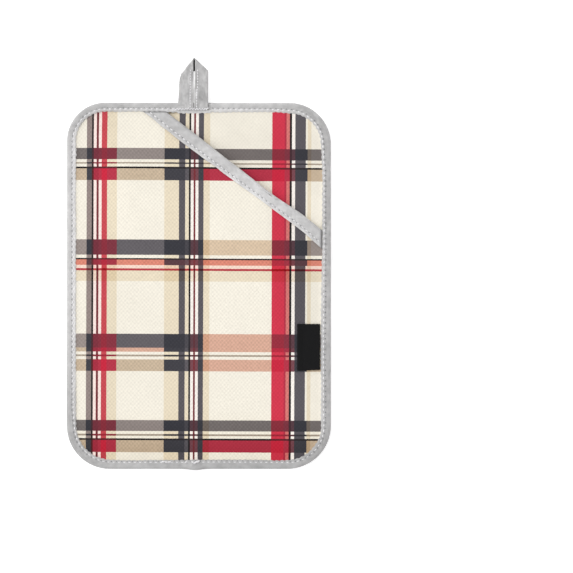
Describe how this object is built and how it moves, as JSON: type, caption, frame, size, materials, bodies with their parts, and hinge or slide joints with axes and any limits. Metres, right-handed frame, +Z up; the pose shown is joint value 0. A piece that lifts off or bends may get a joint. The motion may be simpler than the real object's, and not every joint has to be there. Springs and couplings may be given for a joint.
{
  "type": "pot holder",
  "caption": "Quilted pot holder in plaid cloth with a slanting hand pocket, a silver quilted back, grey bound edges and a pointed hang loop, lying on its back.",
  "frame": {"origin": "on the surface it lies on, under the middle of its box with the hang loop counted in", "axes": "+X to the right across the plaid face, +Y along it to the hang loop, +Z up out of the plaid face"},
  "size_m": [0.18, 0.282, 0.0151],
  "materials": {
    "silver_satin": "satin",
    "plaid_cloth": "matte",
    "pale_tape": "satin",
    "grey_tape": "satin",
    "black_label": "matte"
  },
  "bodies": {
    "root": {"quilted_back": "silver_satin", "front_panel": "plaid_cloth", "pocket_panel": "plaid_cloth", "mouth_binding": "pale_tape", "edge_binding": "grey_tape", "hang_loop": "grey_tape", "label": "black_label"}
  },
  "joints": []
}
